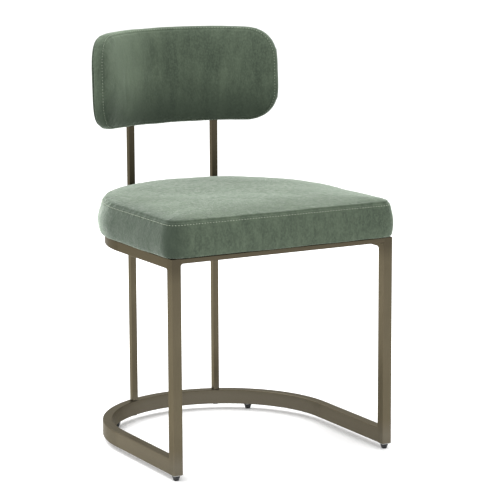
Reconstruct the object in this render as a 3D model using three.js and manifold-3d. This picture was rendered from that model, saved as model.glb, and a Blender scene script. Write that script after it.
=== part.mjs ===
// A dining chair: a D-plan metal tube frame on four levelling glides, a thick seat pad,
// and a curved back pad on two slim uprights. Millimetres, +Z up, the front faces -Y,
// origin on the floor below the middle of the chair.
import * as THREE from "three";
import { mergeVertices } from "three/addons/utils/BufferGeometryUtils.js";
import Module from "manifold-3d";

const wasm = await Module();
wasm.setup();

// Driving dimensions
const gap = 0.3; // clearance between neighbouring pieces
const frameWidth = 480; // outside, leg to leg
const footprintDepth = 490; // front of the legs to the back of the base
const seatFrameDepth = 468; // front of the legs to the back of the seat frame
const seatFrameTop = 422;
const glideHeight = 11; // floor to the underside of the tubes
const tubeWidth = 20; // every frame tube, seen from above
const baseTubeHeight = 30;
const railHeight = 20;
const frontRailHeight = 10;
const wall = 1.5;
const padOverhang = 10; // how far the seat pad bulges past the frame
const backOverhang = 4; // how far the back pad stands behind the base
const uprightSize = 12;
const uprightSpacing = 190; // centre to centre
const uprightTop = 716;
const seamY = -3; // where each base tube meets the bent tube

// Places that follow from them
const frontY = padOverhang - (footprintDepth + padOverhang + backOverhang) / 2;
const half = frameWidth / 2;
const bendRadius = half; // outside of both bends
const midRadius = bendRadius - tubeWidth / 2;
const baseBendY = frontY + footprintDepth - bendRadius;
const seatBendY = frontY + seatFrameDepth - bendRadius;
const legX = half - tubeWidth / 2;
const legY = frontY + tubeWidth / 2;
const legBackY = frontY + tubeWidth;
const baseTop = glideHeight + baseTubeHeight;
const railBottom = seatFrameTop - railHeight;
const uprightX = uprightSpacing / 2;
const uprightY = baseBendY + 207.5; // just behind the seat frame's bend
const rearGlideX = 153;
const rearGlideY = baseBendY + Math.sqrt(midRadius ** 2 - rearGlideX ** 2);
const sides = { left: -1, right: 1 }; // as seen from the front

// Materials
function finish(color, roughness, metalness = 0) {
  return new THREE.MeshStandardMaterial({ color, roughness, metalness });
}
const bronze = finish(0x776a52, 0.42, 0.8);
const zinc = finish(0xa9abad, 0.35, 0.9);
const nylon = finish(0x17181a, 0.5);
const plywood = finish(0xb8915f, 0.7);
const foam = finish(0xe6dcb4, 0.9);
const fabric = finish(0x66755f, 0.95);
const lining = finish(0x1d1f20, 0.95);

const chair = new THREE.Group();
chair.name = "dining_chair";

// Adds one sub-part to the chair.
function add(name, geometry, material) {
  const mesh = new THREE.Mesh(geometry, material);
  mesh.name = name;
  chair.add(mesh);
  return mesh;
}

// Solids and booleans
function toManifold(geometry) {
  const flat = geometry.index ? geometry.toNonIndexed() : geometry;
  const bare = new THREE.BufferGeometry();
  bare.setAttribute("position", flat.getAttribute("position"));
  const merged = mergeVertices(bare, 1e-4);
  const mesh = new wasm.Mesh({
    numProp: 3,
    vertProperties: merged.attributes.position.array,
    triVerts: new Uint32Array(merged.index.array),
  });
  return new wasm.Manifold(mesh);
}

function toGeometry(solid) {
  const mesh = solid.getMesh();
  const out = new THREE.BufferGeometry();
  out.setAttribute("position", new THREE.BufferAttribute(mesh.vertProperties, 3));
  out.setIndex(new THREE.BufferAttribute(mesh.triVerts, 1));
  const faceted = out.toNonIndexed();
  faceted.computeVertexNormals();
  return faceted;
}

// A body with other bodies cut out of it.
function cut(body, ...tools) {
  let solid = toManifold(body);
  for (const tool of tools) solid = solid.subtract(toManifold(tool));
  return toGeometry(solid);
}

// Several bodies that touch, made one.
function fuse(...bodies) {
  let solid = toManifold(bodies[0]);
  for (const body of bodies.slice(1)) solid = solid.add(toManifold(body));
  return toGeometry(solid);
}

// A block between two opposite corners.
function block(low, high) {
  const size = high.map((value, i) => value - low[i]);
  const box = new THREE.BoxGeometry(...size);
  return box.translate(low[0] + size[0] / 2, low[1] + size[1] / 2, low[2] + size[2] / 2);
}

// An upright round bar from z0 to z1.
function rod(x, y, z0, z1, radius, segments = 16) {
  const bar = new THREE.CylinderGeometry(radius, radius, z1 - z0, segments);
  return bar.rotateX(Math.PI / 2).translate(x, y, (z0 + z1) / 2);
}

// A round bar along Y from y0 to y1.
function rodAlongY(x, z, y0, y1, radius, segments = 16) {
  const bar = new THREE.CylinderGeometry(radius, radius, y1 - y0, segments);
  return bar.translate(x, (y0 + y1) / 2, z);
}

// A straight rectangular tube, open at both ends, along the given axis (0 x, 1 y, 2 z).
function straightTube(low, high, axis, thickness = wall) {
  const innerLow = low.map((value, i) => (i === axis ? value - 5 : value + thickness));
  const innerHigh = high.map((value, i) => (i === axis ? value + 5 : value - thickness));
  return cut(block(low, high), block(innerLow, innerHigh));
}

// A U-shaped band seen from above: a half ring round (0, centreY) and two straight ends to endY.
function bandPrism(outer, inner, centreY, endY, z0, z1) {
  const band = new THREE.Shape();
  band.moveTo(outer, endY);
  band.lineTo(outer, centreY);
  band.absarc(0, centreY, outer, 0, Math.PI, false);
  band.lineTo(-outer, endY);
  band.lineTo(-inner, endY);
  band.lineTo(-inner, centreY);
  band.absarc(0, centreY, inner, Math.PI, 0, true);
  band.lineTo(inner, endY);
  const options = { depth: z1 - z0, bevelEnabled: false, curveSegments: 40 };
  return new THREE.ExtrudeGeometry(band, options).translate(0, 0, z0);
}

// A rectangular tube bent round the back of the chair, open at both ends.
function bentTube(centreY, endY, z0, z1) {
  const outside = bandPrism(bendRadius, bendRadius - tubeWidth, centreY, endY, z0, z1);
  const innerRadius = bendRadius - tubeWidth + wall;
  const bore = bandPrism(bendRadius - wall, innerRadius, centreY, endY - 5, z0 + wall, z1 - wall);
  return cut(outside, bore);
}

// Base tubes
for (const [side, sign] of Object.entries(sides)) {
  const inner = sign * (half - tubeWidth);
  const low = [Math.min(sign * half, inner), legBackY + gap, glideHeight];
  const high = [Math.max(sign * half, inner), seamY - gap / 2, baseTop];
  add(`base_tube_${side}`, straightTube(low, high, 1), bronze);
}

function baseBend() {
  const holes = [];
  for (const sign of [-1, 1]) {
    holes.push(rod(sign * uprightX, uprightY, 0, baseTop + 5, 3.4));
    holes.push(rod(sign * rearGlideX, rearGlideY, 0, baseTop - 5, 5));
  }
  return cut(bentTube(baseBendY, seamY + gap / 2, glideHeight, baseTop), ...holes);
}
add("base_bend", baseBend(), bronze);

// Front legs, each with the small rounded webs that run into the rails
function cornerWeb(radius, width) {
  const web = new THREE.Shape();
  web.moveTo(0, 0);
  web.lineTo(0, -radius);
  web.absarc(radius, -radius, radius, Math.PI, Math.PI / 2, true);
  web.lineTo(0, 0);
  const prism = new THREE.ExtrudeGeometry(web, {
    depth: width,
    bevelEnabled: false,
    curveSegments: 6,
  });
  return prism.translate(0, 0, -width / 2);
}

function leg(sign) {
  const low = [sign * legX - tubeWidth / 2, frontY, glideHeight];
  const high = [sign * legX + tubeWidth / 2, legBackY, seatFrameTop];
  const sink = 0.2; // the webs start inside the wall, so that they join it
  const rear = cornerWeb(8, tubeWidth - 4).rotateX(Math.PI / 2).rotateZ(Math.PI / 2);
  rear.translate(sign * legX, legBackY - sink, railBottom - gap);
  const inner = cornerWeb(6, tubeWidth - 4).rotateX(Math.PI / 2);
  if (sign > 0) inner.rotateZ(Math.PI);
  const innerX = sign * (half - tubeWidth + sink);
  inner.translate(innerX, legY, seatFrameTop - frontRailHeight - gap);
  return fuse(straightTube(low, high, 2), rear, inner);
}

for (const [side, sign] of Object.entries(sides)) {
  add(`front_leg_${side}`, leg(sign), bronze);
}

// Plugs in the feet of the legs, bored for the glide studs
const plugHalf = tubeWidth / 2 - wall - gap;
for (const [side, sign] of Object.entries(sides)) {
  const low = [sign * legX - plugHalf, legY - plugHalf, glideHeight - 1.1];
  const high = [sign * legX + plugHalf, legY + plugHalf, glideHeight + 11];
  const bore = rod(sign * legX, legY, 0, glideHeight + 20, 3.4);
  add(`leg_plug_${side}`, cut(block(low, high), bore), zinc);
}

// Threaded inserts in the underside of the bend, for the rear glides
function rearInsert(sign) {
  const flange = rod(sign * rearGlideX, rearGlideY, glideHeight - 1.1, glideHeight - gap, 7);
  const sleeve = rod(sign * rearGlideX, rearGlideY, glideHeight - 1, glideHeight + 11, 4.7);
  const bore = rod(sign * rearGlideX, rearGlideY, 0, glideHeight + 20, 3.4);
  return cut(fuse(flange, sleeve), bore);
}
for (const [side, sign] of Object.entries(sides)) {
  add(`glide_insert_${side}`, rearInsert(sign), zinc);
}

// Levelling glides: a tapered nylon foot on a steel stud
const footTop = glideHeight - 1.4;
const studRadius = 3;

function footProfile() {
  const points = [
    [0, 0],
    [4.4, 0],
    [5.3, 0.6],
    [7.4, footTop - 2],
    [7.9, footTop - 1],
    [7.6, footTop],
    [studRadius + gap, footTop],
    [studRadius + gap, 3],
    [0, 3],
  ];
  return points.map(([x, y]) => new THREE.Vector2(x, y));
}

const glidePlaces = {
  front_left: [-legX, legY],
  front_right: [legX, legY],
  rear_left: [-rearGlideX, rearGlideY],
  rear_right: [rearGlideX, rearGlideY],
};
for (const [place, [x, y]] of Object.entries(glidePlaces)) {
  const foot = new THREE.LatheGeometry(footProfile(), 20).rotateX(Math.PI / 2);
  add(`glide_foot_${place}`, foot.translate(x, y, 0), nylon);
  add(`glide_stud_${place}`, rod(x, y, 3 + gap, glideHeight + 13, studRadius), zinc);
}

// Seat frame: two side rails, the bend behind them and a thin front rail
const railSeamY = -25;
for (const [side, sign] of Object.entries(sides)) {
  const inner = sign * (half - tubeWidth);
  const low = [Math.min(sign * half, inner), legBackY + gap, railBottom];
  const high = [Math.max(sign * half, inner), railSeamY - gap / 2, seatFrameTop];
  add(`seat_rail_${side}`, straightTube(low, high, 1), bronze);
}
add("seat_bend", bentTube(seatBendY, railSeamY + gap / 2, railBottom, seatFrameTop), bronze);

const frontRailX = half - tubeWidth - gap;
const frontRailLow = [-frontRailX, frontY, seatFrameTop - frontRailHeight];
const frontRailHigh = [frontRailX, legBackY, seatFrameTop];
add("front_rail", straightTube(frontRailLow, frontRailHigh, 0, 1.2), bronze);

// Fixing tabs inside the seat frame, and a screw up through each into the seat board
const tabThickness = 3;
const tabBottom = seatFrameTop - tabThickness;
const tabEdge = half - tubeWidth - gap;
const screwInset = 14;
const rearTabAngle = (50 * Math.PI) / 180;
const rearScrewRadius = bendRadius - tubeWidth - screwInset;

function screwPlaces() {
  const front = half - tubeWidth - screwInset;
  const rearX = rearScrewRadius * Math.cos(rearTabAngle);
  const rearY = seatBendY + rearScrewRadius * Math.sin(rearTabAngle);
  return {
    front_left: [-front, legBackY + screwInset],
    front_right: [front, legBackY + screwInset],
    rear_left: [-rearX, rearY],
    rear_right: [rearX, rearY],
  };
}

// A triangle of plate across a front corner.
function frontTab(sign) {
  const reach = 40;
  const plate = new THREE.Shape();
  plate.moveTo(sign * tabEdge, legBackY + gap);
  plate.lineTo(sign * tabEdge, legBackY + gap + reach);
  plate.lineTo(sign * (tabEdge - 6), legBackY + gap + reach);
  plate.lineTo(sign * (tabEdge - reach), legBackY + gap + 6);
  plate.lineTo(sign * (tabEdge - reach), legBackY + gap);
  const options = { depth: tabThickness, bevelEnabled: false };
  return new THREE.ExtrudeGeometry(plate, options).translate(0, 0, tabBottom);
}

// A short plate standing in from the bend.
function rearTab(sign) {
  const outer = bendRadius - tubeWidth - 1;
  const plate = new THREE.BoxGeometry(30, 26, tabThickness);
  plate.translate(0, outer - 13, tabBottom + tabThickness / 2);
  plate.rotateZ(-sign * (Math.PI / 2 - rearTabAngle));
  return plate.translate(0, seatBendY, 0);
}

const seatScrews = screwPlaces();
for (const [place, [x, y]] of Object.entries(seatScrews)) {
  const sign = place.endsWith("left") ? -1 : 1;
  const plate = place.startsWith("front") ? frontTab(sign) : rearTab(sign);
  const hole = rod(x, y, tabBottom - 5, seatFrameTop + 5, 2.4);
  add(`seat_tab_${place}`, cut(plate, hole), bronze);
  const head = rod(x, y, tabBottom - 2.6, tabBottom - gap, 4.6);
  const shank = rod(x, y, tabBottom - 1, seatFrameTop + 10, 2);
  add(`seat_screw_${place}`, fuse(head, shank), zinc);
}

// Rings and skins. A ring is a closed list of points; skin() joins each ring to the next and
// turns the faces outwards.
function skin(rings, closed) {
  const count = rings[0].length;
  const last = closed ? rings.length : rings.length - 1;
  const corners = [];
  for (let r = 0; r < last; r += 1) {
    const a = rings[r];
    const b = rings[(r + 1) % rings.length];
    for (let i = 0; i < count; i += 1) {
      const j = (i + 1) % count;
      corners.push([a[i], a[j], b[j]], [a[i], b[j], b[i]]);
    }
  }
  // A ring drawn together into a line or a point leaves triangles with no area.
  const key = (p) => p.map((value) => value.toFixed(3)).join();
  const kept = corners.filter((t) => new Set(t.map(key)).size === 3);
  let volume = 0;
  for (const [a, b, c] of kept) {
    volume += new THREE.Vector3(...a).dot(new THREE.Vector3(...b).cross(new THREE.Vector3(...c)));
  }
  if (volume < 0) kept.forEach((t) => t.reverse());
  const out = new THREE.BufferGeometry();
  const flat = new Float32Array(kept.flat(2));
  out.setAttribute("position", new THREE.BufferAttribute(flat, 3));
  out.computeVertexNormals();
  return out;
}

// The seat pad's side, from the hem up to the seam: [offset from the frame's outline, height]
const clothThickness = 1.4;
const padBottom = seatFrameTop + gap;
const seatSeamZ = 492;
const bandProfile = [
  [-24, padBottom],
  [-3, padBottom],
  [2, padBottom + 2.2],
  [6, padBottom + 8],
  [9, padBottom + 20],
  [padOverhang, padBottom + 36],
  [9, padBottom + 52],
  [6.5, padBottom + 63],
  [3, seatSeamZ],
];

// How far the side stands out at a height.
function bulgeAt(z) {
  const points = [...bandProfile.slice(1), [0, seatSeamZ + 6]];
  const above = points.findIndex((point) => point[1] > z);
  if (above < 1) return 0;
  const [from, to] = [points[above - 1], points[above]];
  return from[0] + ((to[0] - from[0]) * (z - from[1])) / (to[1] - from[1]);
}

// The pad is pressed in where the two uprights stand behind it: 1 there, 0 away from them.
function pressedIn(angle) {
  const away = Math.abs(Math.abs(bendRadius * Math.cos(angle)) - uprightX);
  return 1 - THREE.MathUtils.smoothstep(away, 12, 36);
}

// The pad's outline seen from above, at an offset from the frame's outline.
function seatOutline(offset, pressed = 0) {
  const reach = half + offset;
  const corner = Math.max(22 + offset, 4);
  const front = frontY - offset;
  const points = [];
  for (let i = 1; i < 4; i += 1) {
    points.push([-reach + corner + ((2 * reach - 2 * corner) * i) / 4, front]);
  }
  const turn = (cx, cy, from) => {
    for (let i = 0; i <= 5; i += 1) {
      const a = from + (Math.PI / 10) * i;
      points.push([cx + corner * Math.cos(a), cy + corner * Math.sin(a)]);
    }
  };
  const sideRun = (x, y0, y1) => {
    for (let i = 1; i < 3; i += 1) points.push([x, y0 + ((y1 - y0) * i) / 3]);
  };
  turn(reach - corner, front + corner, -Math.PI / 2);
  sideRun(reach, front + corner, seatBendY);
  for (let i = 0; i <= 44; i += 1) {
    const a = (Math.PI * i) / 44;
    const radius = reach - pressed * pressedIn(a);
    points.push([radius * Math.cos(a), seatBendY + radius * Math.sin(a)]);
  }
  sideRun(-reach, seatBendY, front + corner);
  turn(-reach + corner, front + corner, Math.PI);
  return points;
}

// Each entry of a profile becomes one ring.
function seatRings(profile) {
  return profile.map(([offset, z]) => {
    const pressed = Math.max(bulgeAt(z), 0);
    return seatOutline(offset, pressed).map(([x, y]) => [x, y, z]);
  });
}

function seatCentre(z) {
  return seatOutline(0).map(() => [0, seatBendY - 20, z]);
}

// A profile moved sideways by a distance, on its left as it is walked.
function offsetProfile(profile, distance) {
  return profile.map((point, i) => {
    const before = profile[Math.max(i - 1, 0)];
    const after = profile[Math.min(i + 1, profile.length - 1)];
    const along = [after[0] - before[0], after[1] - before[1]];
    const length = Math.hypot(along[0], along[1]);
    return [
      point[0] - (along[1] / length) * distance,
      point[1] + (along[0] / length) * distance,
    ];
  });
}

// Side band of the seat cover, with a hem turned in under the board
function shell(profile, thickness, toRings) {
  const inside = offsetProfile(profile, thickness).reverse();
  return skin([...toRings(profile), ...toRings(inside)], true);
}
add("seat_cover_band", shell(bandProfile, clothThickness, seatRings), fabric);

// Top panel of the seat cover, crowned
const topProfile = [
  [2.7, seatSeamZ + gap],
  [-3, seatSeamZ + 3.8],
  [-14, seatSeamZ + 6.4],
  [-36, seatSeamZ + 8.4],
  [-80, seatSeamZ + 9.8],
  [-140, seatSeamZ + 10.3],
];
const seatCrownZ = seatSeamZ + 10.5;
function seatTopPanel() {
  const inside = offsetProfile(topProfile, clothThickness);
  inside[0] = [topProfile[0][0] - clothThickness * 1.4, topProfile[0][1]];
  const over = [...seatRings(topProfile), seatCentre(seatCrownZ)];
  const under = [...seatRings(inside), seatCentre(seatCrownZ - clothThickness)];
  return skin([...under.reverse(), ...over], false);
}
add("seat_cover_top", seatTopPanel(), fabric);

// Plywood board under the foam, drilled for the screws
const boardBottom = padBottom + clothThickness + gap;
const boardTop = boardBottom + 12;
function seatBoard() {
  const outline = new THREE.Shape(seatOutline(-5).map(([x, y]) => new THREE.Vector2(x, y)));
  const options = { depth: boardTop - boardBottom, bevelEnabled: false };
  const plate = new THREE.ExtrudeGeometry(outline, options).translate(0, 0, boardBottom);
  const holes = Object.values(seatScrews).map(([x, y]) => {
    return rod(x, y, boardBottom - 5, boardBottom + 10, 2.4);
  });
  return cut(plate, ...holes);
}
add("seat_board", seatBoard(), plywood);

// Foam, following the inside of the cover
function seatFoam() {
  const clear = clothThickness + 2 * gap;
  const side = bandProfile.slice(4).map(([offset, z]) => [offset - clear * 1.6, z]);
  const crown = offsetProfile(topProfile, clear).slice(1);
  const low = boardTop + gap;
  const foot = [bulgeAt(low) - clear * 1.6, low];
  const rings = seatRings([[-12, low], foot, ...side, ...crown]);
  return skin([seatCentre(low), ...rings, seatCentre(seatCrownZ - clear)], false);
}
add("seat_foam", seatFoam(), foam);

// Thin lining that closes the underside inside the hem
function seatLining() {
  const outline = new THREE.Shape(seatOutline(-26).map(([x, y]) => new THREE.Vector2(x, y)));
  const options = { depth: 0.8, bevelEnabled: false };
  const sheet = new THREE.ExtrudeGeometry(outline, options).translate(0, 0, padBottom + gap);
  const holes = Object.values(seatScrews).map(([x, y]) => {
    return rod(x, y, padBottom - 5, padBottom + 5, 3);
  });
  return cut(sheet, ...holes);
}
add("seat_lining", seatLining(), lining);

// Uprights: square bars bolted up through the base bend, passing behind the seat frame
const backScrewHeights = { lower: 650, upper: 694 };
const headDepth = 2.6;

function upright(sign) {
  const x = sign * uprightX;
  const r = uprightSize / 2;
  const low = [x - r, uprightY - r, baseTop + gap];
  const high = [x + r, uprightY + r, uprightTop];
  const holes = [rod(x, uprightY, 0, baseTop + 26, 3.3)];
  for (const z of Object.values(backScrewHeights)) {
    holes.push(rodAlongY(x, z, uprightY - 20, uprightY + 20, 2.4));
    holes.push(rodAlongY(x, z, uprightY + r - headDepth, uprightY + 20, 3.9));
  }
  return cut(block(low, high), ...holes);
}

for (const [side, sign] of Object.entries(sides)) {
  const x = sign * uprightX;
  add(`back_upright_${side}`, upright(sign), bronze);
  const head = rod(x, uprightY, glideHeight - 2.2, glideHeight - gap, 5.2);
  const shank = rod(x, uprightY, glideHeight - 1, baseTop + 22, 3);
  add(`upright_bolt_${side}`, fuse(head, shank), zinc);
  for (const [level, z] of Object.entries(backScrewHeights)) {
    const rear = uprightY + uprightSize / 2 - 0.2;
    const screwHead = rodAlongY(x, z, rear - 2.1, rear, 3.6);
    const screwShank = rodAlongY(x, z, uprightY - 11, rear - 1, 2);
    add(`back_screw_${side}_${level}`, fuse(screwHead, screwShank), zinc);
  }
}

// Back pad: a rounded rectangle, bent round a vertical axis in front of it. s runs along the
// bend, h is up from the middle, t is outward from the bend's middle surface.
const backRadius = 259;
const backAxisY = uprightY - 237.6;
const backMidZ = 706.5;
const backHalfLength = 233;
const backHalfHeight = 91.5;
const backCorner = 77;
const backLean = 0.035; // backward lean, as a slope
const cornerPower = 2 / 2.5; // a little squarer than a circle

function backOutline(offset) {
  const length = backHalfLength + offset;
  const height = backHalfHeight + offset;
  const corner = Math.max(Math.min(backCorner + offset, height - 1), 2);
  const quarter = [];
  for (let i = 0; i <= 2; i += 1) {
    quarter.push([length, ((height - corner) * i) / 2]);
  }
  for (let i = 1; i < 7; i += 1) {
    const a = (Math.PI / 14) * i;
    quarter.push([
      length - corner + corner * Math.cos(a) ** cornerPower,
      height - corner + corner * Math.sin(a) ** cornerPower,
    ]);
  }
  for (let i = 0; i <= 8; i += 1) {
    quarter.push([((length - corner) * (8 - i)) / 8, height]);
  }
  const arch = ([s, h]) => [s, h + 3 * (1 - (s / length) ** 2) * (h / height)];
  const first = quarter.map(arch);
  const second = first.map(([s, h]) => [-s, h]).reverse();
  const upper = [...first, ...second.slice(1)];
  const lower = upper.map(([s, h]) => [s, -h]).reverse();
  return [...upper, ...lower.slice(1, -1)];
}

function bend([s, h, t]) {
  const angle = s / backRadius;
  const radius = backRadius + t;
  return [
    radius * Math.sin(angle),
    backAxisY + radius * Math.cos(angle) + backLean * h,
    backMidZ + h,
  ];
}

// A ring in the pad's own terms: at an offset inside the outline, at a depth t.
function backRings(profile) {
  return profile.map(([offset, t]) => backOutline(offset).map(([s, h]) => bend([s, h, t])));
}

// The outline drawn together onto the middle line, which closes a face of the pad.
function backLine(offset, t) {
  return backOutline(offset).map(([s]) => bend([s, 0, t]));
}

const backCloth = 1.3;
const backSeamT = -13.5;

// Side band of the back cover, with a hem turned in behind the board
const backHemT = 9.2;
const backBand = [
  [0.5, backSeamT],
  [3, -8.5],
  [4, -2.5],
  [2.8, 4],
  [0, 7.8],
  [-4, backHemT],
  [-22, backHemT],
];
function backCoverBand() {
  const inside = offsetProfile(backBand, backCloth).reverse();
  const r = uprightSize / 2 + 0.4;
  const openings = [-1, 1].map((sign) => {
    const low = [sign * uprightX - r, uprightY - r, backMidZ - 120];
    return block(low, [sign * uprightX + r, uprightY + r, backMidZ - 60]);
  });
  return cut(skin([...backRings(inside), ...backRings(backBand)], true), ...openings);
}
add("back_cover_band", backCoverBand(), fabric);

// Front panel of the back cover, crowned towards the sitter
const frontPanel = [
  [0.2, backSeamT - gap],
  [-3.5, -19],
  [-12, -24.5],
  [-30, -28.5],
  [-55, -30],
];
function backCoverFront() {
  const inside = offsetProfile(frontPanel, -backCloth);
  inside[0] = [frontPanel[0][0] - backCloth * 1.4, frontPanel[0][1]];
  const over = [...backRings(frontPanel), backLine(-55, -30.3)];
  const under = [...backRings(inside), backLine(-55, -30.3 + backCloth)];
  return skin([...over.reverse(), ...under], false);
}
add("back_cover_front", backCoverFront(), fabric);

// Foam behind the front panel
const backBoardFront = -14;
const backBoardRear = backHemT - 2.5;
function backFoam() {
  const clear = backCloth + 2 * gap;
  const crown = offsetProfile(frontPanel, -clear).slice(1);
  const rings = backRings([
    [-30, backBoardFront - 2 * gap],
    [-4, backBoardFront - 2 * gap],
    ...crown,
  ]);
  const rear = backLine(-30, backBoardFront - 2 * gap);
  const front = backLine(-55, -30.3 + clear);
  return skin([front, ...rings.reverse(), rear], false);
}
add("back_foam", backFoam(), foam);

// Moulded plywood board, slotted for the uprights
function backBoard() {
  const rings = backRings([
    [-30, backBoardFront],
    [-6, backBoardFront],
    [-3, backBoardFront + 4],
    [-3, backBoardRear],
    [-30, backBoardRear],
  ]);
  const faces = [backLine(-30, backBoardFront), ...rings, backLine(-30, backBoardRear)];
  const r = uprightSize / 2 + 0.4;
  const tools = [];
  for (const sign of [-1, 1]) {
    const x = sign * uprightX;
    tools.push(block([x - r, uprightY - r, 500], [x + r, uprightY + 30, uprightTop + 0.4]));
    for (const z of Object.values(backScrewHeights)) {
      tools.push(rodAlongY(x, z, uprightY - 15, uprightY, 2.4));
    }
  }
  return cut(skin(faces.reverse(), false), ...tools);
}
add("back_board", backBoard(), plywood);

// Rear panel that hides the hem and the slots
function backRearPanel() {
  const front = backHemT + 0.5;
  const rear = front + 2.7;
  const rings = backRings([
    [-30, front],
    [-3.8, front],
    [-2.8, front + 0.8],
    [-4, rear - 0.7],
    [-9, rear - 0.2],
    [-40, rear],
  ]);
  const faces = [backLine(-30, front), ...rings, backLine(-40, rear)];
  return skin(faces.reverse(), false);
}
add("back_rear_panel", backRearPanel(), fabric);

export default chair;
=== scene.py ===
import math

import bpy
import numpy as np
from mathutils import Matrix, Vector, bvhtree, kdtree, noise


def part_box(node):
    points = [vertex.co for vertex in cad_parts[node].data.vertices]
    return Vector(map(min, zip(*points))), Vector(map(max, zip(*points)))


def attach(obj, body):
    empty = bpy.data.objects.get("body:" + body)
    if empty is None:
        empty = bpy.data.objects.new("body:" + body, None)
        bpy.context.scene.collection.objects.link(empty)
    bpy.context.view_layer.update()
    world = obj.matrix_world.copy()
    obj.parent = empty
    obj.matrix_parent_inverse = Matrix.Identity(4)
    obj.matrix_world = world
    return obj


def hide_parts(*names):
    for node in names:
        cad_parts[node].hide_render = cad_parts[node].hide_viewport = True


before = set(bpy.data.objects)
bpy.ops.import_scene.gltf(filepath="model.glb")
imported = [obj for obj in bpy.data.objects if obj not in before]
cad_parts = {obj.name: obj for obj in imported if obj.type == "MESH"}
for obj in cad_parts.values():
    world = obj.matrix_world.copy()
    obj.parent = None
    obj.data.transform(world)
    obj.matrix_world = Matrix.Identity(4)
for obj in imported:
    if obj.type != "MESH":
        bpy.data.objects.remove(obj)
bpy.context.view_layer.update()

MM = 0.001
SIDES = {"left": -1, "right": 1}

# Sizes read from the frame
LEG_LOW, LEG_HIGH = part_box("front_leg_right")
BASE_LOW, BASE_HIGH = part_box("base_bend")
HOOP_LOW, HOOP_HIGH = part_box("seat_bend")
HALF_WIDTH = BASE_HIGH.x
TUBE = BASE_HIGH.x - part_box("base_tube_right")[0].x
FRAME_TOP = LEG_HIGH.z
SEAT_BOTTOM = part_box("seat_cover_band")[0].z
SEAT_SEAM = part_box("seat_cover_band")[1].z
FRONT = LEG_LOW.y

# Sizes of the frame's finish
EDGE = 1.6 * MM  # rounding of the tubes' long edges
WALL = 1.5 * MM
PLUG_ROOM = 39 * MM  # how far up a leg is hollow
SEAM_EASE = 0.5 * MM  # bevel beside the one seam that shows
WELD_RUN_IN = 1.2 * MM  # how far a weld web sinks into its corner
WEB_WIDTH = TUBE - 3 * MM
REAR_WEB, INNER_WEB = 7 * MM, 5 * MM  # radii of the webs behind and inside a leg
POST_FULLER = 0.5 * MM  # how much fuller a post is on each side
INSERT_ROOM, STUD_ROOM = 0.3 * MM, 0.2 * MM  # round an insert and round a stud


# ---------------------------------------------------------------- modelling helpers

def only(piece):
    """Selects one piece and makes it active."""
    bpy.ops.object.select_all(action="DESELECT")
    piece.select_set(True)
    bpy.context.view_layer.objects.active = piece


def start(name):
    """Names the primitive that was just added and puts its place into its mesh."""
    piece = bpy.context.object
    piece.name = name
    piece.data.name = name
    only(piece)
    bpy.ops.object.transform_apply(location=True, rotation=True, scale=True)
    return piece


def edit(piece, mode="EDGE"):
    """Sets the kind of selection and clears it, ready for pick()."""
    only(piece)
    bpy.ops.object.mode_set(mode="EDIT")
    bpy.ops.mesh.select_mode(type=mode)
    bpy.ops.mesh.select_all(action="DESELECT")
    bpy.ops.object.mode_set(mode="OBJECT")


def pick(items, mesh, test):
    """Selects the edges or faces whose middle passes the test, and stays in edit mode."""
    for item in items:
        if hasattr(item, "center"):
            middle = item.center
        else:
            middle = sum((mesh.vertices[i].co for i in item.vertices), Vector()) / 2
        if test(item, middle):
            item.select = True
    bpy.ops.object.mode_set(mode="EDIT")


def done():
    bpy.ops.object.mode_set(mode="OBJECT")


def along(mesh, edge, axis):
    """Whether an edge runs along an axis."""
    a, b = (mesh.vertices[i].co for i in edge.vertices)
    d = (b - a).normalized()
    return abs(d[axis]) > 0.99


def smooth(piece, angle=35):
    only(piece)
    bpy.ops.object.shade_smooth_by_angle(angle=math.radians(angle))
    return piece


def outward(piece):
    """Merges doubled points and turns every face outward."""
    only(piece)
    bpy.ops.object.mode_set(mode="EDIT")
    bpy.ops.mesh.select_all(action="SELECT")
    bpy.ops.mesh.remove_doubles(threshold=1e-6)
    bpy.ops.mesh.normals_make_consistent(inside=False)
    done()


def apply_all(piece):
    only(piece)
    for modifier in list(piece.modifiers):
        bpy.ops.object.modifier_apply(modifier=modifier.name)


def combine(piece, other, operation="DIFFERENCE"):
    """Cuts or joins with another piece, which is used up."""
    only(piece)
    modifier = piece.modifiers.new("combine", "BOOLEAN")
    modifier.operation = operation
    modifier.solver = "EXACT"
    modifier.object = other
    bpy.ops.object.modifier_apply(modifier=modifier.name)
    bpy.data.objects.remove(other, do_unlink=True)
    return piece


def cube(name, low, high):
    """A block between two corners."""
    low, high = Vector(low), Vector(high)
    bpy.ops.object.select_all(action="DESELECT")
    bpy.ops.mesh.primitive_cube_add(size=1, location=(low + high) / 2, scale=high - low)
    return start(name)


def rod(name, centre, radius, depth, sides=48, turn=(0, 0, 0)):
    """A plain cylinder, upright unless turned."""
    bpy.ops.object.select_all(action="DESELECT")
    bpy.ops.mesh.primitive_cylinder_add(
        vertices=sides, radius=radius, depth=depth, location=centre, rotation=turn
    )
    return start(name)


def bar(name, low, high, axis, radius=EDGE, ends=0.0):
    """A straight bar with rounded long edges; ends is the rounding of its end faces."""
    piece = cube(name, low, high)
    edit(piece)
    pick(piece.data.edges, piece.data, lambda e, c: along(piece.data, e, axis))
    bpy.ops.mesh.bevel(offset=radius, segments=4, profile=0.5, affect="EDGES")
    done()
    if ends:
        at_end = {i for i, v in enumerate(piece.data.vertices)
                  if min(abs(v.co[axis] - low[axis]), abs(v.co[axis] - high[axis])) < 1e-6}
        edit(piece)
        pick(piece.data.edges, piece.data, lambda e, c: (
            at_end.issuperset(e.vertices) and not along(piece.data, e, axis)))
        bpy.ops.mesh.bevel(offset=ends, segments=2, profile=0.5, affect="EDGES")
        done()
    return piece


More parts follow.
